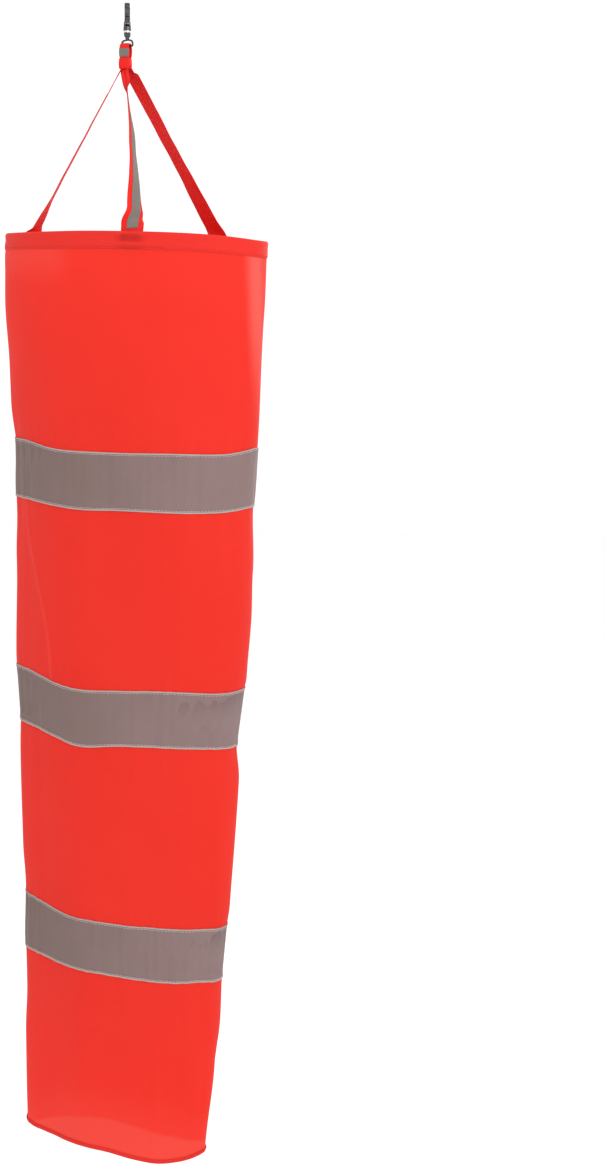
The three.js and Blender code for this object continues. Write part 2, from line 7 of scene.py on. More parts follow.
import bpy
from mathutils import Matrix, Vector, noise


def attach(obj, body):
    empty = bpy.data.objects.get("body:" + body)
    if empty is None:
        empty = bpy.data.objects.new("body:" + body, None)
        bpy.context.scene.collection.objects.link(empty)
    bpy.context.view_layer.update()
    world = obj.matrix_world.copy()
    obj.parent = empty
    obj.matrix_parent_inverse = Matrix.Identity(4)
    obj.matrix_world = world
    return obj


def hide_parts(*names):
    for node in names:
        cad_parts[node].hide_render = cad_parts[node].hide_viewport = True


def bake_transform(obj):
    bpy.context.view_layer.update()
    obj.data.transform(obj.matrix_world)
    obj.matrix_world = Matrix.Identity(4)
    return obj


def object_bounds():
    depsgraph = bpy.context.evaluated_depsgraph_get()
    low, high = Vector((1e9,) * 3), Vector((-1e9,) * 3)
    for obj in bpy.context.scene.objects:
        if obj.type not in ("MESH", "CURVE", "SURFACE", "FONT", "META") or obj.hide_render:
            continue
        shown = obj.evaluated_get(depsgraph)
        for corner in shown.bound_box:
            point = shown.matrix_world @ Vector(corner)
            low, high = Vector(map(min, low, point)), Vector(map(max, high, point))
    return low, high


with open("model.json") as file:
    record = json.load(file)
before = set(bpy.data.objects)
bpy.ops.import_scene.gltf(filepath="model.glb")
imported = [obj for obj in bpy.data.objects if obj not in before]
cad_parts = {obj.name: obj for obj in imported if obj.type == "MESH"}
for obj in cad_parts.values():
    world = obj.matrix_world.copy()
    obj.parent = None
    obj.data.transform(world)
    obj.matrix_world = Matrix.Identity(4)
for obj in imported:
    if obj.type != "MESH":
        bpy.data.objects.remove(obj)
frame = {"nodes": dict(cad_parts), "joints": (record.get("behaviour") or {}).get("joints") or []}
CAD_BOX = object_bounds()
JOINTS = {joint["name"]: joint for joint in frame["joints"]}
MM = 0.001

# ---------------------------------------------------------------- camera

CAMERA_DISTANCE = 1.5805  # from the hook's vertical axis
CAMERA_HEIGHT = -0.3222
CAMERA_AZIMUTH = math.radians(27.5)  # from the front towards +X
CAMERA_YAW = math.radians(5.9)  # how far right of the windsock it looks
CAMERA_PITCH = math.radians(7.2)  # downwards
CAMERA_ROLL = math.radians(0.7)
CAMERA_LENS = 52.17  # mm, on a sensor 36 mm along the picture's long side


def make_camera():
    heading = CAMERA_AZIMUTH - CAMERA_YAW
    level = math.cos(CAMERA_PITCH)
    forward = Vector((-math.sin(heading) * level, math.cos(heading) * level, -math.sin(CAMERA_PITCH)))
    right = forward.cross(Vector((0, 0, 1))).normalized()
    up = right.cross(forward)
    turned_right = right * math.cos(CAMERA_ROLL) + up * math.sin(CAMERA_ROLL)
    turned_up = up * math.cos(CAMERA_ROLL) - right * math.sin(CAMERA_ROLL)
    data = bpy.data.cameras.new("camera")
    data.lens = CAMERA_LENS
    data.sensor_width = 36
    camera = bpy.data.objects.new("camera", data)
    bpy.context.scene.collection.objects.link(camera)
    axes = Matrix((turned_right, turned_up, -forward)).transposed().to_4x4()
    place = Vector((math.sin(CAMERA_AZIMUTH), -math.cos(CAMERA_AZIMUTH), 0)) * CAMERA_DISTANCE
    place.z = CAMERA_HEIGHT
    camera.matrix_world = Matrix.Translation(place) @ axes
    bpy.context.scene.camera = camera


make_camera()

# ---------------------------------------------------------------- sizes

# The tube, as depths below the mouth's rim. They are the CAD model's.
TUBE_LENGTH = 860 * MM
MOUTH = (127 * MM, 72 * MM)  # half sizes of the oval
TAIL = (95 * MM, 36 * MM)
TAPE_HEIGHT = 51 * MM
TAPE_MIDDLES = (216 * MM, 431 * MM, 653 * MM)
SKIN = 0.8 * MM  # the cloth, outwards from the oval

# The bridle, from the axis of the eye's bar.
TUBE_OFFSET = 14 * MM
RIM_DROP = 169.8 * MM
TAB = 12 * MM
TAB_OFFSET = -4.4 * MM
TABS = (75, 196, 299)  # where the ribbons are sewn in, in degrees round the oval
RIBBON_WIDTH = 20 * MM
RIBBON = 0.42 * MM
STRIPE_WIDTH = 10 * MM
STACK_PITCH = 1.225 * MM
STACK_TOP = 5.5 * MM
APEX_ASIDE = -1.6 * MM  # how far the loop has slid along the bar
WRAP_TOP = 10.5 * MM
WRAP_BOTTOM = 20 * MM

# ---------------------------------------------------------------- frames of reference

ACROSS = Vector(JOINTS["first_bend"]["axis"]).normalized()
BACK = Vector((0, 1, 0))
UP = ACROSS.cross(BACK)
RIM = Vector(JOINTS["first_bend"]["pos_m"]) + UP * (TAPE_MIDDLES[0] + TAPE_HEIGHT / 2)
BAR = Vector(JOINTS["loop_swing"]["pos_m"])


def from_bar(x, y, z):
    return BAR + ACROSS * x + BACK * y + UP * z


def lerp(a, b, share):
    return a + (b - a) * share


def smooth(value, start, end):
    share = min(1, max(0, (value - start) / (end - start)))
    return share * share * (3 - 2 * share)


def keyed(keys, value):
    """A smooth curve through (value, result) pairs, level beyond its ends."""
    after = next((i for i, (at, _) in enumerate(keys) if at >= value), len(keys) - 1)
    (start, a), (end, b) = keys[max(1, after) - 1], keys[max(1, after)]
    return lerp(a, b, smooth(value, start, end))


def hump(value, width):
    return math.exp(-((value / width) ** 2))


def away(angle, degrees):
    """How many degrees an angle in radians lies from a direction round the tube."""
    return (math.degrees(angle) - degrees + 180) % 360 - 180


def half_sizes(depth):
    share = depth / TUBE_LENGTH
    return lerp(MOUTH[0], TAIL[0], share), lerp(MOUTH[1], TAIL[1], share)


def lower_edge(tape):
    """The depth of a tape's lower edge; tapes are numbered from 1."""
    return TAPE_MIDDLES[tape - 1] + TAPE_HEIGHT / 2


# ---------------------------------------------------------------- how the cloth hangs

RIDGE = 3.0 * MM
HOLLOW = 3.0 * MM
RIM_SAG = 3.2 * MM

# How far each side bulges between the tapes, and how far the cloth is drawn up: (depth, distance) in mm.
RIGHT_BULGE = (
    (0, 0.5), (65, 2.3), (160, 2.4), (240, 1.5), (300, 5.5), (345, 7.3), (395, 6.5), (425, 1.5), (455, 1.5),
    (490, 5.5), (610, 5), (650, 1), (720, 2.8), (770, 0), (860, -3.5),
)
LEFT_BULGE = (
    (0, -1.5), (25, 0.4), (65, 1.3), (115, 0), (160, 0.6), (207, -2.8), (254, -2), (300, 0), (395, 2.8),
    (440, -1), (490, 0), (580, 0), (628, -2), (674, 0), (720, 0), (768, 2), (860, 2),
)
LEFT_RAISE = ((0, 1), (190, 6), (241, 2), (405, 6.5), (456, 3.2), (627, 5.5), (678, 1.4), (860, 2.5))
MIDDLE_RAISE = ((0, 0), (190, 0), (241, -1.6), (405, -2), (456, -5), (627, 0), (760, 0), (860, 4))
FRONT_RAISE = ((0, 0), (190, 1.8), (241, 0), (405, 2.2), (456, 0.3), (627, 0), (678, -2), (860, -2.5))
RIGHT_RAISE = ((0, 0.8), (190, 8), (241, 5.2), (405, 2.5), (456, -0.7), (627, -2), (678, -4.5), (860, 6))
# Where the crease in the second length runs: (depth in mm, degrees round the oval).
CREASE = ((241, 144), (278, 137.5), (308, 128), (340, 123.5), (405, 118))
MOUTH_SHIFT = 3.3 * MM  # of the sprung mouth, towards the left
MOUTH_RAISE = 2 * MM


def near_tape(depth):
    """Distance from the nearest tape edge, and 0 behind a tape."""
    return min(abs(depth - middle) for middle in TAPE_MIDDLES) - TAPE_HEIGHT / 2


def drape(angle, depth):
    """How far the cloth stands out from the plain oval."""
    free = smooth(depth, 10 * MM, 220 * MM)
    down = depth / TUBE_LENGTH
    sides = keyed(RIGHT_BULGE, depth / MM) * hump(away(angle, -10), 38)
    sides += keyed(LEFT_BULGE, depth / MM) * hump(away(angle, 168), 38)
    ridge = lerp(106, 99, down)
    fold = RIDGE * hump(away(angle, ridge), 15) - HOLLOW * hump(away(angle, ridge + 36), 22)
    fold -= 1.6 * MM * hump(away(angle, 30), 16) * lerp(0.4, 1, down)
    fold += 2.0 * MM * hump(away(angle, 262), 18) - 2.0 * MM * hump(away(angle, 305), 20)
    creased = smooth(depth, 244 * MM, 262 * MM) * (1 - smooth(depth, 385 * MM, 404 * MM))
    fold += 0.9 * MM * creased * hump(away(angle, keyed(CREASE, depth / MM)), 3.5)
    x, y = math.cos(angle), math.sin(angle)
    slow = noise.noise(Vector((x * 1.6, y * 1.6, depth * 5))) * 2.2 * MM
    streak = noise.noise(Vector((x * 5.2 + 7, y * 5.2, depth * 4))) * 0.9 * MM
    edge = max(0, near_tape(depth))
    pucker = noise.noise(Vector((x * 17, y * 17, depth * 14 + 3))) * 1.1 * MM * math.exp(-edge / (16 * MM))
    return sides * MM + free * (fold + slow + streak) + pucker * smooth(depth, 20 * MM, 60 * MM)


def sag(angle, depth):
    """How far the cloth hangs below its place: the rim between the ribbons, and the uneven rows of tape."""
    fade = max(0, 1 - max(0, depth) / (190 * MM)) ** 2
    rim = RIM_SAG * hump(away(angle, 3), 30) + 1.5 * MM * hump(away(angle, 136), 25) - MOUTH_RAISE
    degrees = math.degrees(angle) % 360
    left = smooth(degrees, 105, 142) * (1 - smooth(degrees, 205, 250))
    raised = left * keyed(LEFT_RAISE, depth / MM)
    raised += hump(away(angle, 98), lerp(14, 30, smooth(depth, 0.7, 0.86))) * keyed(MIDDLE_RAISE, depth / MM)
    raised += hump(away(angle, 52), 24) * keyed(FRONT_RAISE, depth / MM)
    raised += hump(away(angle, -5), 28) * keyed(RIGHT_RAISE, depth / MM)
    return fade * rim - raised * MM


def shift(depth):
    return ACROSS * -MOUTH_SHIFT * (1 - smooth(depth, 60 * MM, 190 * MM))


def wall(angle, depth, offset):
    """A point on the tube's wall and the way out from it. The angle goes round from +X by the front."""
    width, thick = half_sizes(depth)
    out = (ACROSS * thick * math.cos(angle) - BACK * width * math.sin(angle)).normalized()
    flat = ACROSS * width * math.cos(angle) - BACK * thick * math.sin(angle)
    place = RIM + shift(depth) - UP * (depth + sag(angle, depth))
    return place + flat + out * (offset + drape(angle, depth)), out


def make_round_table():
    """The share of the way round at each angle, from the back by +X, for even stitches and weave."""
    width, thick = half_sizes(TUBE_LENGTH / 2)
    steps = 720
    shares = [0]
    for i in range(steps):
        angle = 2 * math.pi * (i + 0.5) / steps - math.pi / 2
        shares.append(shares[-1] + math.hypot(width * math.sin(angle), thick * math.cos(angle)))
    return [share / shares[-1] for share in shares]


ROUND = make_round_table()


def angle_at(share):
    """The angle at a share of the way round, where 0 is the middle of the back."""
    share %= 1
    low, high = 0, len(ROUND) - 1
    while high - low > 1:
        middle = (low + high) // 2
        low, high = (middle, high) if ROUND[middle] <= share else (low, middle)
    part = (share - ROUND[low]) / (ROUND[high] - ROUND[low])
    return 2 * math.pi * (low + part) / (len(ROUND) - 1) - math.pi / 2


def perimeter(depth):
    width, thick = half_sizes(depth)
    h = ((width - thick) / (width + thick)) ** 2
    return math.pi * (width + thick) * (1 + 3 * h / (10 + math.sqrt(4 - 3 * h)))


# ---------------------------------------------------------------- materials


class Shade:
    """A material under construction: add nodes, join them, and read finished sockets by name."""

    def __init__(self, name):
        self.material = bpy.data.materials.new(name)
        self.material.use_nodes = True
        self.tree = self.material.node_tree
        self.tree.nodes.clear()
        self.output = self.tree.nodes.new("ShaderNodeOutputMaterial")

    def add(self, kind, settings=None, **sockets):
        node = self.tree.nodes.new(kind)
        for name, value in (settings or {}).items():
            setattr(node, name, value)
        for name, value in sockets.items():
            self.put(node.inputs[name.replace("_", " ")], value)
        return node

    def put(self, socket, value):
        if isinstance(value, bpy.types.NodeSocket):
            self.tree.links.new(value, socket)
        else:
            socket.default_value = value

    def math(self, operation, a, b=0.5):
        node = self.add("ShaderNodeMath", {"operation": operation})
        self.put(node.inputs[0], a)
        self.put(node.inputs[1], b)
        return node.outputs[0]

    def mix(self, share, a, b):
        node = self.add("ShaderNodeMix", {"data_type": "RGBA"})
        self.put(node.inputs[0], share)
        self.put(node.inputs[6], a)
        self.put(node.inputs[7], b)
        return node.outputs[2]

    def noise(self, where, scale, detail=3):
        node = self.add("ShaderNodeTexNoise", Vector=where, Scale=scale, Detail=detail)
        return node.outputs["Fac"]

    def flat_map(self):
        """The two directions of the cloth, in metres: round or along, and across."""
        parts = self.add("ShaderNodeSeparateXYZ", Vector=self.add("ShaderNodeTexCoord").outputs["UV"])
        return parts.outputs["X"], parts.outputs["Y"]

    def step(self, value, start, end):
        """From 0 at one value to 1 at another, smoothly."""
        node = self.add("ShaderNodeMapRange", {"interpolation_type": "SMOOTHSTEP"}, Value=value)
        node.inputs["From Min"].default_value = start
        node.inputs["From Max"].default_value = end
        return node.outputs["Result"]

    def weave(self, pitch, across_pitch=None):
        """A plain weave's height: threads that pass over and under each other."""
        along, across = self.flat_map()
        one = self.math("SINE", self.math("MULTIPLY", along, math.pi / pitch))
        other = self.math("SINE", self.math("MULTIPLY", across, math.pi / (across_pitch or pitch)))
        return self.math("MULTIPLY", one, other)

    def bump(self, height, distance, strength=1, normal=None):
        node = self.add("ShaderNodeBump", Height=height, Distance=distance, Strength=strength)
        if normal is not None:
            self.put(node.inputs["Normal"], normal)
        return node.outputs["Normal"]

    def finish(self, shader):
        self.tree.links.new(shader.outputs[0], self.output.inputs["Surface"])
        return self.material


def rgb(red, green, blue):
    return (red, green, blue, 1)


def tail_glow(shade):
    """Just above the tail's edge at the front, a single layer hangs against the light."""
    along, down = shade.flat_map()
    turn = shade.math("MULTIPLY", along, 2 * math.pi / perimeter(lower_edge(3)))
    arc = shade.math("MULTIPLY", shade.math("SINE", shade.math("SUBTRACT", turn, 1.29)), 35 * MM)
    length = TUBE_LENGTH - lower_edge(3)
    total = shade.math("ADD", down, arc)
    soft = shade.math("MULTIPLY", shade.step(total, length - 45 * MM, length - 4 * MM), 0.25)
    return shade.math("MAXIMUM", soft, shade.step(total, length - 4 * MM, length + 2 * MM))


def mouth_glow(shade):
    """Light on the cloth under the hem: a streak at the +X end and a paler zone at the -X end."""
    along, down = shade.flat_map()
    middle = shade.math("SUBTRACT", 171 * MM, shade.math("MULTIPLY", down, 0.1))
    streak = shade.step(shade.math("ABSOLUTE", shade.math("SUBTRACT", along, middle)), 15 * MM, 2 * MM)
    fall = shade.math("MULTIPLY", shade.step(down, 190 * MM, 50 * MM), 0.75)
    streak = shade.math("MULTIPLY", streak, fall)
    zone = shade.math("MULTIPLY", shade.step(along, 338 * MM, 368 * MM), shade.step(down, 48 * MM, 18 * MM))
    return shade.math("MAXIMUM", streak, shade.math("MULTIPLY", zone, 0.17))


def crease_glow(shade):
    """A painted highlight: the pale line along the crease that slants across the second length near its -X
    end.
    """
    along, down = shade.flat_map()
    slant = shade.math("MULTIPLY", shade.step(down, -15 * MM, 150 * MM), 45 * MM)
    line = shade.math("SUBTRACT", 390.8 * MM, slant)
    near = shade.step(shade.math("ABSOLUTE", shade.math("SUBTRACT", along, line)), 4 * MM, 0.5 * MM)
    return shade.math("MULTIPLY", near, 0.15)


def tab_shade(shade):
    """Painted shade: the hem is darker in two short rows where a ribbon's end is sewn in behind it, standing
    in for the shade of its puckers.
    """
    along, down = shade.flat_map()
    beside = 0
    for tab in TABS:
        middle = perimeter(0) * ROUND[(tab + 90) % 360 * 2]
        reach = shade.math("ABSOLUTE", shade.math("SUBTRACT", along, middle))
        beside = shade.math("ADD", beside, shade.step(reach, 18 * MM, 4 * MM))
    upper = shade.step(shade.math("ABSOLUTE", shade.math("SUBTRACT", down, 7.4 * MM)), 4.5 * MM, 1 * MM)
    lower = shade.step(shade.math("ABSOLUTE", shade.math("SUBTRACT", down, 15.4 * MM)), 3 * MM, 0.5 * MM)
    rows = shade.math("MAXIMUM", shade.math("MULTIPLY", upper, 0.9), shade.math("MULTIPLY", lower, 0.6))
    return shade.math("MULTIPLY", beside, rows)


CLOTH_PITCH = 0.5 * MM  # of the threads in its weave


def cloth_material(name, deep, bright, light_through, glow=None):
    """Fluorescent woven polyester, which lets some light through."""
    shade = Shade(name)
    uv = shade.add("ShaderNodeTexCoord").outputs["UV"]
    weave = shade.weave(CLOTH_PITCH)
    cloudy = shade.noise(uv, 9)
    slubs = shade.noise(shade.add("ShaderNodeMapping", Vector=uv, Scale=(60, 900, 1)).outputs[0], 1)
    tone = shade.math("ADD", shade.math("MULTIPLY", cloudy, 0.7), shade.math("MULTIPLY", slubs, 0.3))
    colour = shade.mix(tone, deep, bright)
    # glow holds a mask of painted light, or of painted shade on the mouth's hem, and its colour, mixed over
    # the cloth's own colour.
    if glow:
        colour = shade.mix(glow[0](shade), colour, glow[1])
    fine = shade.bump(weave, 0.05 * MM, 0.5)
    crumpled = shade.bump(shade.noise(uv, 45, 4), 0.9 * MM, 0.16, fine)
    cloth = shade.add("ShaderNodeBsdfPrincipled", Base_Color=colour, Roughness=0.72, Normal=crumpled)
    cloth.inputs["Sheen Weight"].default_value = 0.03
    cloth.inputs["Sheen Roughness"].default_value = 0.45
    cloth.inputs["Specular IOR Level"].default_value = 0.2
    through = shade.add("ShaderNodeBsdfTranslucent", Color=colour, Normal=crumpled)
    both = shade.add("ShaderNodeMixShader")
    both.inputs[0].default_value = light_through
    shade.tree.links.new(cloth.outputs[0], both.inputs[1])
    shade.tree.links.new(through.outputs[0], both.inputs[2])
    return shade.finish(both)


def bead_material(name, dark, light, around=None):
    """Reflective tape: grey glass beads bonded to a woven strip. Given around, painted light round the tube
    makes it lighter towards +X, where the key light falls.
    """
    shade = Shade(name)
    uv = shade.add("ShaderNodeTexCoord").outputs["UV"]
    beads = shade.add("ShaderNodeTexVoronoi", Vector=uv, Scale=1 / (0.22 * MM)).outputs["Distance"]
    cloudy = shade.noise(uv, 14, 4)
    slanted = shade.add("ShaderNodeMapping", Vector=uv, Scale=(22, 60, 1))
    slanted.inputs["Rotation"].default_value = (0, 0, math.radians(28))
    worn = shade.noise(slanted.outputs[0], 1)
    tone = shade.math("ADD", shade.math("MULTIPLY", cloudy, 0.65), shade.math("MULTIPLY", worn, 0.35))
    # Painted light: lighter towards +X and darker towards -X round the tube, where the key light from the
    # right falls and misses.
    if around:
        turn = shade.math("SINE", shade.math("MULTIPLY", shade.flat_map()[0], 2 * math.pi / around))
        tone = shade.math("ADD", tone, shade.math("MULTIPLY", turn, 0.45))
    colour = shade.mix(tone, dark, light)
    fine = shade.bump(beads, 0.03 * MM, 0.5)
    creased = shade.bump(shade.noise(uv, 60, 3), 0.7 * MM, 0.2, fine)
    grey = shade.add("ShaderNodeBsdfPrincipled", Base_Color=colour, Roughness=0.6, Normal=creased)
    grey.inputs["Specular IOR Level"].default_value = 0.25
    return shade.finish(grey)


def woven_material(name, deep, bright, rib, roughness=0.7):
    """Ribbon or binding with cross ribs of a given pitch."""
    shade = Shade(name)
    uv = shade.add("ShaderNodeTexCoord").outputs["UV"]
    ribs = shade.weave(rib, rib * 0.6)
    cloudy = shade.noise(uv, 40, 4)
    colour = shade.mix(cloudy, deep, bright)
    normal = shade.bump(ribs, 0.08 * MM, 0.7)
    cloth = shade.add("ShaderNodeBsdfPrincipled", Base_Color=colour, Roughness=roughness, Normal=normal)
    cloth.inputs["Specular IOR Level"].default_value = 0.15
    return shade.finish(cloth)


def metal_material(name, dark, light, roughness):
    """Plated metal with faint cloudiness and rubbed patches."""
    shade = Shade(name)
    where = shade.add("ShaderNodeTexCoord").outputs["Object"]
    cloudy = shade.noise(where, 320, 4)
    stretched = shade.add("ShaderNodeMapping", Vector=where, Scale=(400, 400, 5200)).outputs[0]
    scratches = shade.noise(stretched, 1)
    colour = shade.mix(cloudy, dark, light)
    rough = shade.math("ADD", shade.math("MULTIPLY", scratches, 0.18), roughness - 0.09)
    normal = shade.bump(scratches, 0.01 * MM, 0.3)
    metal = shade.add(
        "ShaderNodeBsdfPrincipled", Base_Color=colour, Roughness=rough, Metallic=1.0, Normal=normal,
    )
    return shade.finish(metal)


def plastic_material(name, dark, light):
    shade = Shade(name)
    where = shade.add("ShaderNodeTexCoord").outputs["Object"]
    cloudy = shade.noise(where, 90, 4)
    normal = shade.bump(shade.noise(where, 1800, 2), 0.02 * MM, 0.4)
    plastic = shade.add(
        "ShaderNodeBsdfPrincipled", Base_Color=shade.mix(cloudy, dark, light), Roughness=0.45, Normal=normal,
    )
    return shade.finish(plastic)


# Colours of painted light on the cloth, then of painted shade beside the ribbons' tabs on the mouth's hem.
PALE = rgb(0.86, 0.14, 0.11)
TAIL_PALE = rgb(0.80, 0.062, 0.044)
TAB_PAINTED_SHADE = rgb(0.50, 0.013, 0.010)
# The painted light on each length of cloth: a mask and its colour, or None.
GLOWS = ((mouth_glow, PALE), (crease_glow, PALE), None, (tail_glow, TAIL_PALE))
CLOTH_DEEP = rgb(0.75, 0.025, 0.014)
CLOTH_BRIGHT = rgb(0.84, 0.037, 0.022)
CLOTHS = [
    cloth_material(f"fluorescent_cloth_{length}", CLOTH_DEEP, CLOTH_BRIGHT, 0.3, glow)
    for length, glow in enumerate(GLOWS, 1)
]
HEM = cloth_material("doubled_cloth", rgb(0.67, 0.020, 0.014), rgb(0.76, 0.029, 0.020), 0.12)
# The mouth's hem, with painted shade beside each ribbon's tab.
MOUTH_HEM = cloth_material(
    "doubled_cloth_mouth", rgb(0.68, 0.020, 0.014), rgb(0.78, 0.029, 0.020), 0.12, (tab_shade, TAB_PAINTED_SHADE),
)
# The tapes' colours span their random tone and, round the tube, their painted light towards +X.
TAPE_DARK = rgb(0.155, 0.102, 0.090)
TAPE_LIGHT = rgb(0.208, 0.140, 0.136)
TAPES = [
    bead_material(f"reflective_tape_{number}", TAPE_DARK, TAPE_LIGHT, perimeter(middle))
    for number, middle in enumerate(TAPE_MIDDLES, 1)
]
TAPE_EDGE = woven_material("tape_edge", rgb(0.33, 0.27, 0.25), rgb(0.42, 0.36, 0.34), 0.7 * MM)
RIBBON_STRIPE = bead_material("ribbon_stripe", rgb(0.140, 0.122, 0.106), rgb(0.190, 0.168, 0.148))
RIBBON_CLOTH = woven_material("ribbon", rgb(0.63, 0.011, 0.009), rgb(0.76, 0.020, 0.015), 0.8 * MM)
THREAD = woven_material("red_thread", rgb(0.58, 0.030, 0.024), rgb(0.70, 0.045, 0.034), 0.3 * MM)
PALE_THREAD = woven_material("pale_thread", rgb(0.50, 0.46, 0.43), rgb(0.62, 0.58, 0.55), 0.3 * MM)
NICKEL = metal_material("dark_nickel", rgb(0.060, 0.060, 0.062), rgb(0.105, 0.103, 0.103), 0.34)
STEEL = metal_material("bright_steel", rgb(0.62, 0.62, 0.61), rgb(0.74, 0.73, 0.72), 0.22)
WHITE = plastic_material("hoop_plastic", rgb(0.70, 0.69, 0.66), rgb(0.78, 0.77, 0.74))

# ---------------------------------------------------------------- meshes


def make_object(name, points, faces, maps, materials, face_materials=None):
    """A smooth mesh with a UV map in metres: maps holds one list of (u, v) for each face."""
    mesh = bpy.data.meshes.new(name)
    mesh.from_pydata([tuple(point) for point in points], [], faces)
    layer = mesh.uv_layers.new(name="metres")
    flat = [value for face in maps for uv in face for value in uv]
    layer.data.foreach_set("uv", flat)
    for material in materials:
        mesh.materials.append(material)
    mesh.polygons.foreach_set("use_smooth", [True] * len(faces))
    if face_materials:
        mesh.polygons.foreach_set("material_index", face_materials)
    mesh.update()
    made = bpy.data.objects.new(name, mesh)
    bpy.context.scene.collection.objects.link(made)
    return made


def ring(name, rows, materials, columns=200, closed=False, band=None):
    """Cloth that goes round the tube. Rows are (depth, offset) pairs, down the outside and, if closed, up
    the inside. The offset may be a function of the angle. band(row) picks the material below a row."""
    points = []
    for depth, offset in rows:
        for column in range(columns):
            angle = angle_at(column / columns)
            lift = offset(angle) if callable(offset) else offset
            points.append(wall(angle, depth, lift)[0])
    walked = [0]
    for (depth, _), (next_depth, _) in zip(rows, rows[1:] + rows[:1]):
        walked.append(walked[-1] + max(abs(next_depth - depth), 0.3 * MM))
    around = perimeter(rows[0][0])
    faces, maps, bands = [], [], []
    for row in range(len(rows) if closed else len(rows) - 1):
        below = (row + 1) % len(rows)
        for column in range(columns):
            beside = (column + 1) % columns
            corners = ((row, column), (row, beside), (below, beside), (below, column))
            faces.append(tuple(r * columns + c for r, c in corners))
            left, right = around * column / columns, around * (column + 1) / columns
            top, bottom = walked[row], walked[row + 1]
            maps.append([(left, top), (right, top), (right, bottom), (left, bottom)])
            bands.append(band(row) if band else 0)
    return make_object(name, points, faces, maps, materials, bands)


def spaced(start, end, step):
    count = max(1, round((end - start) / step))
    return [lerp(start, end, i / count) for i in range(count + 1)]


def sweep(name, loops, materials):
    """A closed skin through a list of closed loops of points, with both ends capped."""
    size = len(loops[0])
    points = [point for loop in loops for point in loop]
    walked = [0]
    for loop, following in zip(loops, loops[1:]):
        walked.append(walked[-1] + max((following[0] - loop[0]).length, 0.05 * MM))
    round_by = [0]
    for point, following in zip(loops[0], loops[0][1:] + loops[0][:1]):
        round_by.append(round_by[-1] + (following - point).length)
    faces, maps = [], []
    for i in range(len(loops) - 1):
        for j in range(size):
            k = (j + 1) % size
            faces.append((i * size + j, i * size + k, (i + 1) * size + k, (i + 1) * size + j))
            maps.append([
                (walked[i], round_by[j]), (walked[i], round_by[j + 1]),
                (walked[i + 1], round_by[j + 1]), (walked[i + 1], round_by[j]),
            ])
    last = (len(loops) - 1) * size
    faces.append(tuple(reversed(range(size))))
    faces.append(tuple(range(last, last + size)))
    maps += [[(0, edge) for edge in reversed(round_by[:-1])], [(walked[-1], edge) for edge in round_by[:-1]]]
    return make_object(name, points, faces, maps, materials)


STITCH_SIDES = 5
STITCH_PROFILE = ((-0.5, -0.5, 0.3), (-0.28, 0.15, 0.5), (0.28, 0.15, 0.5), (0.5, -0.5, 0.3))


def stitches(name, paths, material, pitch=3.2 * MM, length=2.5 * MM, thread=0.45 * MM):
    """Rows of single stitches. A path gives a point and the way out of the cloth, at a share of its way."""
    points, faces, maps = [], [], []
    for path in paths:
        track = [path(i / 160)[0] for i in range(161)]
        total = sum((b - a).length for a, b in zip(track, track[1:]))
        count = max(1, int(total / pitch))
        for number in range(count):
            share = (number + 0.5) / count
            point, out = path(share)
            step = 0.3 * pitch / total
            along = (path(min(1, share + step))[0] - path(max(0, share - step))[0]).normalized()
            side = along.cross(out).normalized()
            out = side.cross(along)
            first = len(points)
            for place, height, radius in STITCH_PROFILE:
                centre = point + along * place * length + out * height * thread
                for i in range(STITCH_SIDES):
                    turn = 2 * math.pi * i / STITCH_SIDES
                    points.append(centre + (side * math.cos(turn) + out * math.sin(turn)) * radius * thread)
            for i in range(len(STITCH_PROFILE) - 1):
                for j in range(STITCH_SIDES):
                    k = (j + 1) % STITCH_SIDES
                    a, b = first + i * STITCH_SIDES, first + (i + 1) * STITCH_SIDES
                    faces.append((a + j, b + j, b + k, a + k))
                    u, v, w = i * MM, j * MM, k * MM
                    maps.append([(u, v), (u + MM, v), (u + MM, w), (u, w)])
    return make_object(name, points, faces, maps, [material])


def around_row(depth, offset):
    return lambda share: wall(angle_at(share), depth, offset)


# ---------------------------------------------------------------- the tube

SECTIONS = ("mouth_section", "second_section", "third_section", "tail_section")
ROW = 4 * MM


def follow(piece, length):
    """Makes a piece of cloth length 1 move with the mouth section; a piece of lengths 2 to 4 keeps its place
    and rides on no section.
    """
    if length == 1:
        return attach(piece, SECTIONS[0])
    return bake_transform(piece)


def span(length):
    top = 1.5 * MM if length == 1 else lower_edge(length - 1)
    bottom = TUBE_LENGTH - 1 * MM if length == 4 else lower_edge(length)
    return top, bottom


def make_cloth(length):
    top, bottom = span(length)
    rows = [(depth, SKIN) for depth in spaced(top, bottom, ROW)]
    return ring(f"sock_cloth_{length}", rows, [CLOTHS[length - 1]])


SEAM_WIDTH = 9 * MM
SEAM_ROWS = 3 * MM  # half the distance between its two rows of stitches


def make_seam(length):
    """The folded seam down the inside of the back, where the flat cloth is joined."""
    top, bottom = span(length)
    top = 14 * MM if length == 1 else top
    bottom = TUBE_LENGTH - 8 * MM if length == 4 else bottom
    half = SEAM_WIDTH / perimeter(TUBE_LENGTH / 2) / 2
    loops = []
    for depth in spaced(top, bottom, 6 * MM):
        ripple = noise.noise(Vector((depth * 60, 4, 0))) * 0.0008
        edges = [(half, -0.1), (-half, -0.1), (-half, -0.7), (0, -1.0), (half, -0.7)]
        loops.append([wall(angle_at(side + ripple), depth, SKIN + lift * MM)[0] for side, lift in edges])
    return sweep(f"seam_{length}", loops, [HEM])


def make_seam_stitches(length):
    top, bottom = span(length)
    top = 15 * MM if length == 1 else top
    bottom = TUBE_LENGTH - 9 * MM if length == 4 else bottom

    def row(side):
        share_round = side * SEAM_ROWS / perimeter(TUBE_LENGTH / 2)
        return lambda share: wall(angle_at(share_round), lerp(top, bottom, share), SKIN + 0.05 * MM)

    return stitches(f"seam_stitches_{length}", [row(-1), row(1)], THREAD)


TAPE_INNER = 0.15 * MM  # above the cloth
TAPE_THICKNESS = 0.5 * MM
TAPE_BORDER = 1.3 * MM


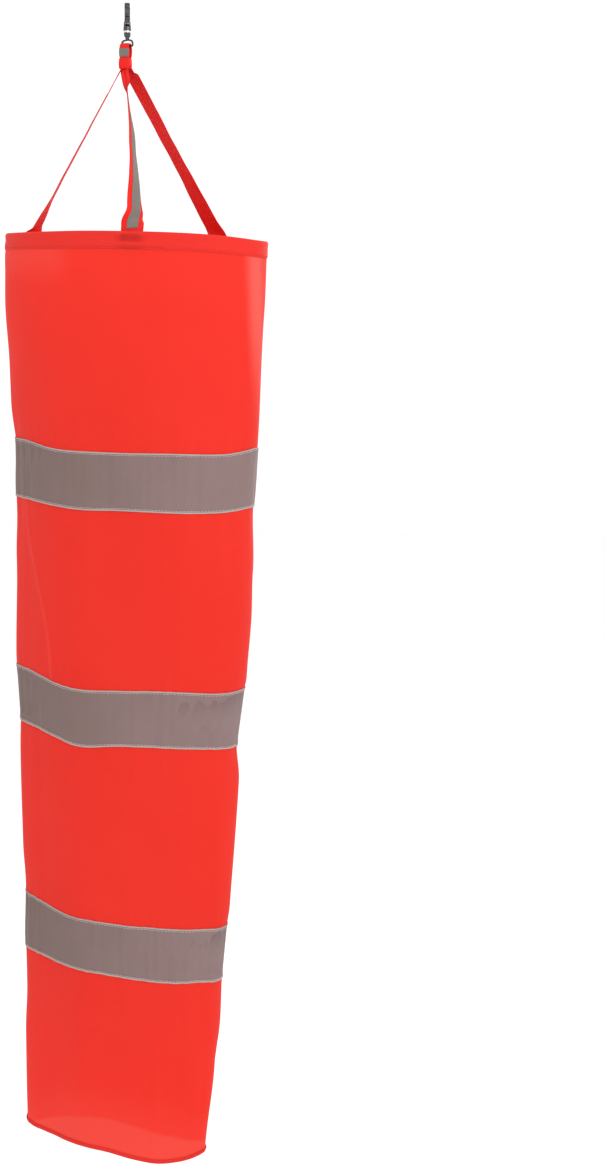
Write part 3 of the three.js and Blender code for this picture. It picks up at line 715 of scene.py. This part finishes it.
def make_tape(number):
    """A tape with shallow creases and a paler woven border along both edges."""
    top, bottom = lower_edge(number) - TAPE_HEIGHT, lower_edge(number)

    def lift(depth):
        inset = min(depth - top, bottom - depth)

        def at(angle):
            x, y = math.cos(angle), math.sin(angle)
            lean = (depth - top) * 40
            crease = noise.noise(Vector((x * 9 + lean, y * 9, depth * 20 + number * 5)))
            fine = noise.noise(Vector((x * 26 + lean * 2, y * 26, depth * 16 + number)))
            loose = smooth(inset, 0, 9 * MM)
            raised = 0.25 * MM if inset < TAPE_BORDER * 0.9 else 0
            return SKIN + TAPE_INNER + TAPE_THICKNESS + raised + loose * (0.55 * crease + 0.22 * fine) * MM
        return at

    border = [0, TAPE_BORDER * 0.5, TAPE_BORDER, TAPE_BORDER * 1.25]
    depths = [top + step for step in border] + spaced(top + 4 * MM, bottom - 4 * MM, 2.6 * MM)
    depths += [bottom - step for step in reversed(border)]
    rows = [(depth, lift(depth)) for depth in depths]
    rows = [(top, SKIN + TAPE_INNER)] + rows + [(bottom, SKIN + TAPE_INNER)]
    edges = {0, 1, 2, len(depths) - 2, len(depths) - 1, len(depths)}
    materials = [TAPES[number - 1], TAPE_EDGE]
    return ring(f"tape_{number}", rows, materials, 260, closed=True, band=lambda row: int(row in edges))


def make_tape_stitches(number):
    offset = SKIN + TAPE_INNER + TAPE_THICKNESS + 0.2 * MM
    inset = TAPE_BORDER + 0.9 * MM
    depths = (lower_edge(number) - TAPE_HEIGHT + inset, lower_edge(number) - inset)
    return stitches(f"tape_stitches_{number}", [around_row(depth, offset) for depth in depths], PALE_THREAD)


def make_mouth_hem():
    """The strip of cloth folded over the rim and the hoop."""

    def puckered(lift, amount):
        def at(angle):
            x, y = math.cos(angle), math.sin(angle)
            pinch = max(0, amount - 0.35) * 2.2 * max(hump(away(angle, tack), 9) for tack in TABS)
            waves = noise.noise(Vector((x * 22, y * 22, lift * 900)))
            return (lift + pinch + min(amount, 0.35) * waves) * MM
        return at

    # Each row's depth, its offset and how much it puckers: up over the rim, down the outside, back up under
    # the hem's own cloth, and down and up again on the inside.
    over = [(0.9, -2.9, 0.1), (0.1, -2.0, 0), (0, -0.9, 0), (0.1, 0.2, 0), (0.9, 1.1, 0.1)]
    outside = [
        (1.2, 1.35, 0.1), (2.4, 1.5, 0.6), (3.6, 1.5, 0.4), (5.0, 1.45, 0.2), (6.2, 1.35, 0.1),
        (7.4, 1.3, 0.3), (8.6, 1.4, 0.7), (9.8, 1.5, 0.95), (11.0, 1.55, 0.95), (12.2, 1.5, 0.8),
        (13.3, 1.35, 0.4), (14.3, 1.35, 0.3), (15.0, 1.2, 0.1),
    ]
    lip = [(15.1, 1.05, 0.1), (13.0, 1.0, 0)]
    under = [(2.0, 1.0, 0), (1.0, 0.2, 0), (1.0, -1.8, 0), (2.0, -2.7, 0)]
    inside = [
        (11.5, -2.7, 0), (13, -2.7, 0.2), (13, -3.2, 0.2), (11.2, -3.1, 0.1), (7, -3.4, 0.2), (3, -3.4, 0.2),
    ]
    rows = over + outside + lip + under + inside
    rows = [(depth * MM, puckered(lift, amount)) for depth, lift, amount in rows]
    return ring("sock_mouth_hem", rows, [MOUTH_HEM], 240, closed=True)


def make_hoop():
    """The springy plastic strip that holds the mouth open, inside the hem."""
    rows = [(2.0, -0.5), (2.0, -0.3), (10.4, -0.3), (10.4, -0.5), (10.4, -1.5), (2.0, -1.5)]
    return ring("sock_hoop", [(depth * MM, lift * MM) for depth, lift in rows], [WHITE], 200, closed=True)


TAIL_HEM = 4 * MM


def make_tail_hem():
    top = TUBE_LENGTH - TAIL_HEM
    # Each row's depth below the hem's top and its offset, in mm: down the outside, up the inside, and back
    # down and up between the two.
    rows = [
        (0, 1.2), (0, 1.5), (1.2, 1.7), (2.8, 1.7), (3.7, 1.4), (4, 0.8), (3.7, 0.1), (2.8, -0.1),
        (1.2, -0.1), (0, 0.1), (0, 0.5), (3, 0.5), (3, 1.15),
    ]
    rows = [(top + depth * MM, lift * MM) for depth, lift in rows]
    return ring("sock_tail_hem", rows, [HEM], 220, closed=True)


def make_tube():
    on_length = {length: [] for length in (1, 2, 3, 4)}
    for length in on_length:
        seam = make_seam(length)
        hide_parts(f"back_seam_{length}")
        on_length[length] += [seam, make_seam_stitches(length)]
    for number in (1, 2, 3):
        tape = make_tape(number)
        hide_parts(f"reflective_tape_{number}")
        on_length[number] += [tape, make_tape_stitches(number)]
    mouth_hem, hoop, tail_hem = make_mouth_hem(), make_hoop(), make_tail_hem()
    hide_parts("mouth_hem")
    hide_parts("mouth_hoop")
    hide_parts("tail_hem")
    mouth_rows = stitches("mouth_stitches", [around_row(13.4 * MM, 1.45 * MM)], THREAD)
    tail_rows = stitches("tail_stitches", [around_row(TUBE_LENGTH - TAIL_HEM + 1.6 * MM, 1.8 * MM)], THREAD)
    on_length[1] += [mouth_hem, hoop, mouth_rows]
    on_length[4] += [tail_hem, tail_rows]
    for length, pieces in on_length.items():
        cloth = make_cloth(length)
        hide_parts(f"cloth_length_{length}")
        for piece in [cloth] + pieces:
            follow(piece, length) if piece not in (tail_hem, tail_rows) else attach(piece, SECTIONS[3])


make_tube()

# ---------------------------------------------------------------- the ribbons

# Where each ribbon meets the rim (degrees round the oval), its layer in the stack, the direction that its
# outer face looks in there, how far to one side it leaves the wrap, the part of its free length over which
# it folds in half, and how it twists on the way up: (share of the free length, degrees from flat on the
# wall), up to the wrap, in which it turns flat.
FRONT_TWIST = ((0, 6), (0.09, 62), (0.5, 91), (0.84, 107), (0.93, 168))
STRAPS = {
    "front": (75, -1, 90, -1.6 * MM, (0.78, 0.89), FRONT_TWIST),
    "left": (196, 0, 270, -6 * MM, (0.88, 0.97), ((0, 10), (0.06, 38), (0.25, 52), (1, 56))),
    "right": (-61, 1, 90, 2 * MM, (0.955, 0.995), ((0, 0), (0.1, -14), (0.5, -24), (1, -21))),
}
# How far the front ribbon bows towards +X: (share of its free length, mm).
FRONT_BOW = ((0, 0.5), (0.03, 1.2), (0.12, 5.3), (0.3, 6.3), (0.55, 5.5), (0.9, 1.5), (1, 0))
FOLDED_SCALE = 0.86


def tab_point(degrees, below):
    """The middle of a ribbon on the inside of the hem, from the bar."""
    width, thick = (size + TAB_OFFSET for size in half_sizes(below))
    angle = math.radians(degrees)
    across = TUBE_OFFSET - MOUTH_SHIFT + width * math.cos(angle)
    return Vector((across, -thick * math.sin(angle), -RIM_DROP - below))


def wall_bend(degrees):
    """How sharply the wall bends there, per metre."""
    width, thick = (size + TAB_OFFSET for size in MOUTH)
    angle = math.radians(degrees)
    return width * thick / math.hypot(width * math.sin(angle), thick * math.cos(angle)) ** 3


def ribbon_stations(degrees, layer, faces, aside, turn):
    """Centre, outward and sideways directions, and the share of the way up, for each step of a ribbon."""
    angle = math.radians(degrees)
    normal = Vector((MOUTH[1] * math.cos(angle), -MOUTH[0] * math.sin(angle), 0)).normalized()
    up = Vector((0, 0, 1))
    lower, exit = tab_point(degrees, -3 * MM), Vector((aside, layer * STACK_PITCH, -WRAP_BOTTOM))
    stack_turn = (faces - math.degrees(math.atan2(normal.y, normal.x)) + 90) % 360 - 90
    steps = 90
    raw = [(tab_point(degrees, TAB), up, 0, -0.1), (tab_point(degrees, TAB / 2), up, 0, -0.05)]
    raw += [(tab_point(degrees, 0), up, 0, 0)]
    direction = (exit - lower).normalized()
    for i in range(steps + 1):
        share = i / steps
        along = direction.lerp(up, 1 - smooth(share, -0.02, 0.03)).normalized()
        place = lower.lerp(exit, lerp(0.01, 1, share))
        if layer < 0:
            place.x += keyed(FRONT_BOW, share) * MM
        raw.append((place, along, keyed(turn, share), lerp(0.02, 1, share)))
    for height, share in ((1, 0.15), (2, 0.45), (3, 0.8), (4, 1)):
        place = Vector((lerp(aside, APEX_ASIDE, share), exit.y, -WRAP_BOTTOM + height * MM))
        along = direction.lerp(up, share).normalized()
        raw.append((place, along, lerp(turn[-1][1], stack_turn, share), 1.02))
    raw.append((Vector((APEX_ASIDE, exit.y, -WRAP_TOP)), up, stack_turn, 1.1))
    raw.append((Vector((APEX_ASIDE, exit.y, -STACK_TOP)), up, stack_turn, 1.2))
    stations = []
    for centre, along, degrees_turned, share in raw:
        outward = (normal - along * normal.dot(along)).normalized()
        outward.rotate(Matrix.Rotation(math.radians(degrees_turned), 3, along))
        stations.append((centre, outward, along.cross(outward), share))
    return stations


def section_point(s, lift, share, bend, folding, tuck):
    """A point of a ribbon's cross-section, s from its middle and lift outwards, as distances across and
    outwards. On the way up to the eye the edges slide in behind the middle."""
    quarter = RIBBON_WIDTH / 4
    folded = smooth(share, *folding)
    fold = folded
    if s > 0:
        fold = max(fold, tuck * smooth(share, 0.02, 0.25) * (1 - smooth(share, 0.6, 0.75)))
    past = max(0, abs(s) - quarter)
    side = 1 if s >= 0 else -1
    across = side * (min(abs(s), quarter) + past * lerp(1, -0.9, fold)) * lerp(1, FOLDED_SCALE, folded)
    out = lerp(lift, -1.1 * RIBBON - lift, fold) if past > 0 else lift
    curl = bend * across * across * (1 - smooth(share, 0.02, 0.3)) / 2
    cup = 0.035 * abs(s) * smooth(share, 0.03, 0.2) * (1 - folded)
    return across, out - curl - cup


def ribbon_body(name, strap, width, thickness, offset, start, end, material):
    degrees, layer, faces, aside, folding, turn = strap
    bend = wall_bend(degrees)
    count = 12
    loops = []
    tuck = 0.4 if layer < 0 else 0
    for centre, outward, across, share in ribbon_stations(degrees, layer, faces, aside, turn):
        if not start <= share <= end:
            continue
        wave = noise.noise(Vector((share * 9, degrees, 0))) * 0.4 * MM * smooth(share, 0.02, 0.2)
        loop = []
        for side, order in ((1, 1), (-1, -1)):
            for i in range(count + 1)[::order]:
                s = width * (i / count - 0.5)
                trim = 0.6 if i in (0, count) else 1
                x, n = section_point(s, offset + side * thickness * trim / 2, share, bend, folding, tuck)
                place = centre + across * x + outward * (n + wave * (1 - smooth(share, 0.7, 0.9)))
                loop.append(from_bar(*place))
        loops.append(loop)
    return sweep(name, loops, [material])


def tab_rectangle(degrees, offset, half_width, half_height):
    """Four straight rows of stitches on the wall of the hem, round a ribbon's sewn end."""
    middle = math.radians(degrees)
    width, thick = half_sizes(TAB / 2)
    reach = half_width / math.hypot(width * math.sin(middle), thick * math.cos(middle))
    top, bottom = TAB / 2 + 0.6 * MM - half_height, TAB / 2 + 0.6 * MM + half_height
    corners = [(-reach, top), (reach, top), (reach, bottom), (-reach, bottom), (-reach, top)]

    def row(a, b):
        return lambda share: wall(middle + lerp(a[0], b[0], share), lerp(a[1], b[1], share), offset)

    return [row(a, b) for a, b in zip(corners, corners[1:])]


def make_strap(side):
    strap = STRAPS[side]
    ribbon = ribbon_body(f"ribbon_{side}", strap, RIBBON_WIDTH, RIBBON, 0, -1, 2, RIBBON_CLOTH)
    lift = RIBBON / 2 + 0.16 * MM
    name = f"ribbon_stripe_{side}"
    stripe = ribbon_body(name, strap, STRIPE_WIDTH, 0.22 * MM, lift, 0.02, 0.86, RIBBON_STRIPE)
    paths = tab_rectangle(strap[0], 2.05 * MM, 7 * MM, 3.8 * MM)
    tack = stitches(f"tab_stitches_{side}", paths, THREAD, 2.4 * MM, 1.9 * MM)
    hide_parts(f"{side}_strap")
    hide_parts(f"{side}_strap_stripe")
    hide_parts(f"{side}_tab_stitch")
    for piece, slot in ((ribbon, "ribbon"), (stripe, "reflective_stripe"), (tack, "thread")):
        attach(piece, "mouth_section")


for side in STRAPS:
    make_strap(side)

# ---------------------------------------------------------------- the loop and its wrap

LOOP_HALF = 4.3 * MM
LOOP_TOP_RADIUS = 3.0 * MM
LOOP_LEG = 2.4 * MM
LOOP_DROP = 18.5 * MM


def hairpin_points():
    """The loop's line in the plane across the bar, as (back, up, outward) at even steps."""
    centre = -0.7 * MM
    points = []
    for i in range(12):
        drop = lerp(-LOOP_DROP, centre, i / 12)
        reach = lerp(LOOP_LEG, LOOP_TOP_RADIUS, smooth(drop, -9 * MM, -2.5 * MM))
        points.append((-reach, drop, (-1, 0)))
    for i in range(25):
        angle = math.pi - math.pi * i / 24
        out = (math.cos(angle), math.sin(angle))
        points.append((LOOP_TOP_RADIUS * out[0], centre + LOOP_TOP_RADIUS * out[1], out))
    for y, z, out in reversed(points[:12]):
        points.append((-y, z, (1, 0)))
    return points


def loop_band(name, half, thickness, offset, material, wanted=lambda y, z: True):
    loops = []
    count = 8
    for y, z, out in hairpin_points():
        if not wanted(y, z):
            continue
        flare = 0.8 * MM * smooth(z, -11 * MM, -8 * MM) - 0.5 * MM * smooth(z, -4 * MM, 0)
        loop = []
        for side, order in ((1, 1), (-1, -1)):
            for i in range(count + 1)[::order]:
                x = (half + flare) * (2 * i / count - 1)
                trim = 0.55 if i in (0, count) else 1
                curl = 0.25 * MM * (x / LOOP_HALF) ** 2 * smooth(z, -8 * MM, 0)
                lift = offset + side * thickness * trim / 2 - curl
                loop.append(from_bar(x + APEX_ASIDE, y + out[0] * lift, z + out[1] * lift))
        loops.append(loop)
    return sweep(name, loops, [material])


def make_wrap():
    """A short ribbon sewn tightly round the stack."""
    half = (LOOP_HALF + 0.85 * MM, 3.85 * MM)
    columns = 48

    def outline(depth, inset):
        share = (depth - WRAP_TOP) / (WRAP_BOTTOM - WRAP_TOP)
        loop = []
        for i in range(columns):
            angle = 2 * math.pi * i / columns
            c, s = math.cos(angle), math.sin(angle)
            squared = (abs(c) ** 5 + abs(s) ** 5) ** (-1 / 5)
            uneven = noise.noise(Vector((c * 3, s * 3, share * 4)))
            belly = 0.25 * MM * math.sin(math.pi * share) + 0.12 * MM * uneven - inset
            across, back = (half[0] + belly) * c * squared, (half[1] + belly) * s * squared
            loop.append(from_bar(across + APEX_ASIDE, back, -depth))
        return loop

    rounding = ((0, 0.6), (0.15, 0.3), (0.45, 0.08))
    loops = [outline(WRAP_TOP + step * MM, inset * MM) for step, inset in rounding]
    loops += [outline(depth, 0) for depth in spaced(WRAP_TOP + 0.8 * MM, WRAP_BOTTOM - 0.8 * MM, 1 * MM)]
    loops += [outline(WRAP_BOTTOM - step * MM, inset * MM) for step, inset in reversed(rounding)]
    return sweep("apex_ribbon_wrap", loops, [RIBBON_CLOTH])


def make_apex():
    loop = loop_band("apex_loop", LOOP_HALF, 0.9 * MM, 0, RIBBON_CLOTH)
    stripe, behind = (
        loop_band(
            name, 4.1 * MM, 0.25 * MM, 0.62 * MM, RIBBON_STRIPE,
            lambda y, z: -WRAP_TOP <= z <= -2 * MM and y * side > 0,
        )
        for name, side in (("apex_loop_stripe", -1), ("stripe_behind", 1))
    )
    with bpy.context.temp_override(active_object=stripe, selected_editable_objects=[stripe, behind]):
        bpy.ops.object.join()
    wrap = make_wrap()

    def row(side, a, b):
        face = side * 4.0 * MM
        out = BACK * side

        def at(share):
            return from_bar(lerp(a[0], b[0], share) * MM, face, lerp(a[1], b[1], share) * MM), out
        return at

    corners = ((-4.6, -11.9), (2.2, -11.9), (2.2, -18.6), (-4.6, -18.6), (-4.6, -11.9))
    for side, place in ((-1, "front"), (1, "back")):
        rows = [row(side, a, b) for a, b in zip(corners, corners[1:])]
        rows += [row(side, corners[0], corners[2]), row(side, corners[1], corners[3])]
        tack = stitches(f"apex_stitches_{place}", rows, THREAD, 1.7 * MM, 1.4 * MM, 0.35 * MM)
        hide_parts(f"apex_stitch_{place}")
        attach(tack, "mouth_section")
    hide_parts("hang_loop")
    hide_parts("hang_loop_stripe")
    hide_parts("apex_wrap")
    for piece, slot in ((loop, "ribbon"), (stripe, "reflective_stripe"), (wrap, "ribbon")):
        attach(piece, "mouth_section")


make_apex()

# ---------------------------------------------------------------- CAD nodes that stay

for node, material in (
    ("hook_body", NICKEL), ("gate_lever", NICKEL), ("swivel_eye", NICKEL),
    ("gate_pin", STEEL), ("gate_spring", STEEL), ("hoop_joiner", STEEL),
    ("swivel_washer", STEEL), ("boss_washer", STEEL),
):
    for place in frame["nodes"][node].material_slots:
        place.material = material

# ---------------------------------------------------------------- floor and light

FLOOR_DROP = 0.22  # below the tail


def make_floor():
    height = CAD_BOX[0].z - FLOOR_DROP
    half, cells = 9.0, 24
    points, faces, maps = [], [], []
    for i in range(cells + 1):
        for j in range(cells + 1):
            points.append((lerp(-half, half, i / cells), lerp(-half, half, j / cells), height))
    for i in range(cells):
        for j in range(cells):
            a = i * (cells + 1) + j
            face = (a, a + cells + 1, a + cells + 2, a + 1)
            faces.append(face)
            maps.append([points[k][:2] for k in face])
    shade = Shade("floor")
    where = shade.add("ShaderNodeTexCoord").outputs["UV"]
    colour = shade.mix(shade.noise(where, 3), rgb(0.93, 0.93, 0.93), rgb(0.96, 0.96, 0.96))
    normal = shade.bump(shade.noise(where, 160), 0.4 * MM, 0.2)
    paint = shade.add("ShaderNodeBsdfPrincipled", Base_Color=colour, Roughness=0.9, Normal=normal)
    make_object("floor", points, faces, maps, [shade.finish(paint)])


def make_world():
    """White all round and a little darker overhead, so that metal has something to reflect."""
    world = bpy.data.worlds.new("studio")
    bpy.context.scene.world = world
    world.use_nodes = True
    tree = world.node_tree
    background = tree.nodes["Background"]
    where = tree.nodes.new("ShaderNodeTexCoord")
    parts = tree.nodes.new("ShaderNodeSeparateXYZ")
    ramp = tree.nodes.new("ShaderNodeMapRange")
    ramp.inputs["From Min"].default_value = 0.6
    ramp.inputs["From Max"].default_value = 1
    ramp.inputs["To Min"].default_value = 1.1
    ramp.inputs["To Max"].default_value = 0.95
    tree.links.new(where.outputs["Generated"], parts.inputs[0])
    tree.links.new(parts.outputs["Z"], ramp.inputs["Value"])
    tree.links.new(ramp.outputs[0], background.inputs["Strength"])
    background.inputs["Color"].default_value = rgb(1, 1, 1)


def make_light(name, place, target, size, power):
    data = bpy.data.lights.new(name, "AREA")
    data.shape = "DISK"
    data.size = size
    data.energy = power
    light = bpy.data.objects.new(name, data)
    bpy.context.scene.collection.objects.link(light)
    light.location = place
    light.rotation_euler = (Vector(target) - Vector(place)).to_track_quat("-Z", "Y").to_euler()


make_floor()
make_world()
middle = (CAD_BOX[0] + CAD_BOX[1]) / 2
make_light("key", middle + Vector((2.0, -1.5, 1.6)), middle + Vector((0, 0, 0.3)), 1.2, 32)
make_light("fill", middle + Vector((-2.2, -1.6, 0.4)), middle, 1.6, 3)
make_light("back", middle + Vector((0.5, 2.4, 0.9)), middle, 1.4, 16)
bpy.context.scene.view_settings.view_transform = "Standard"
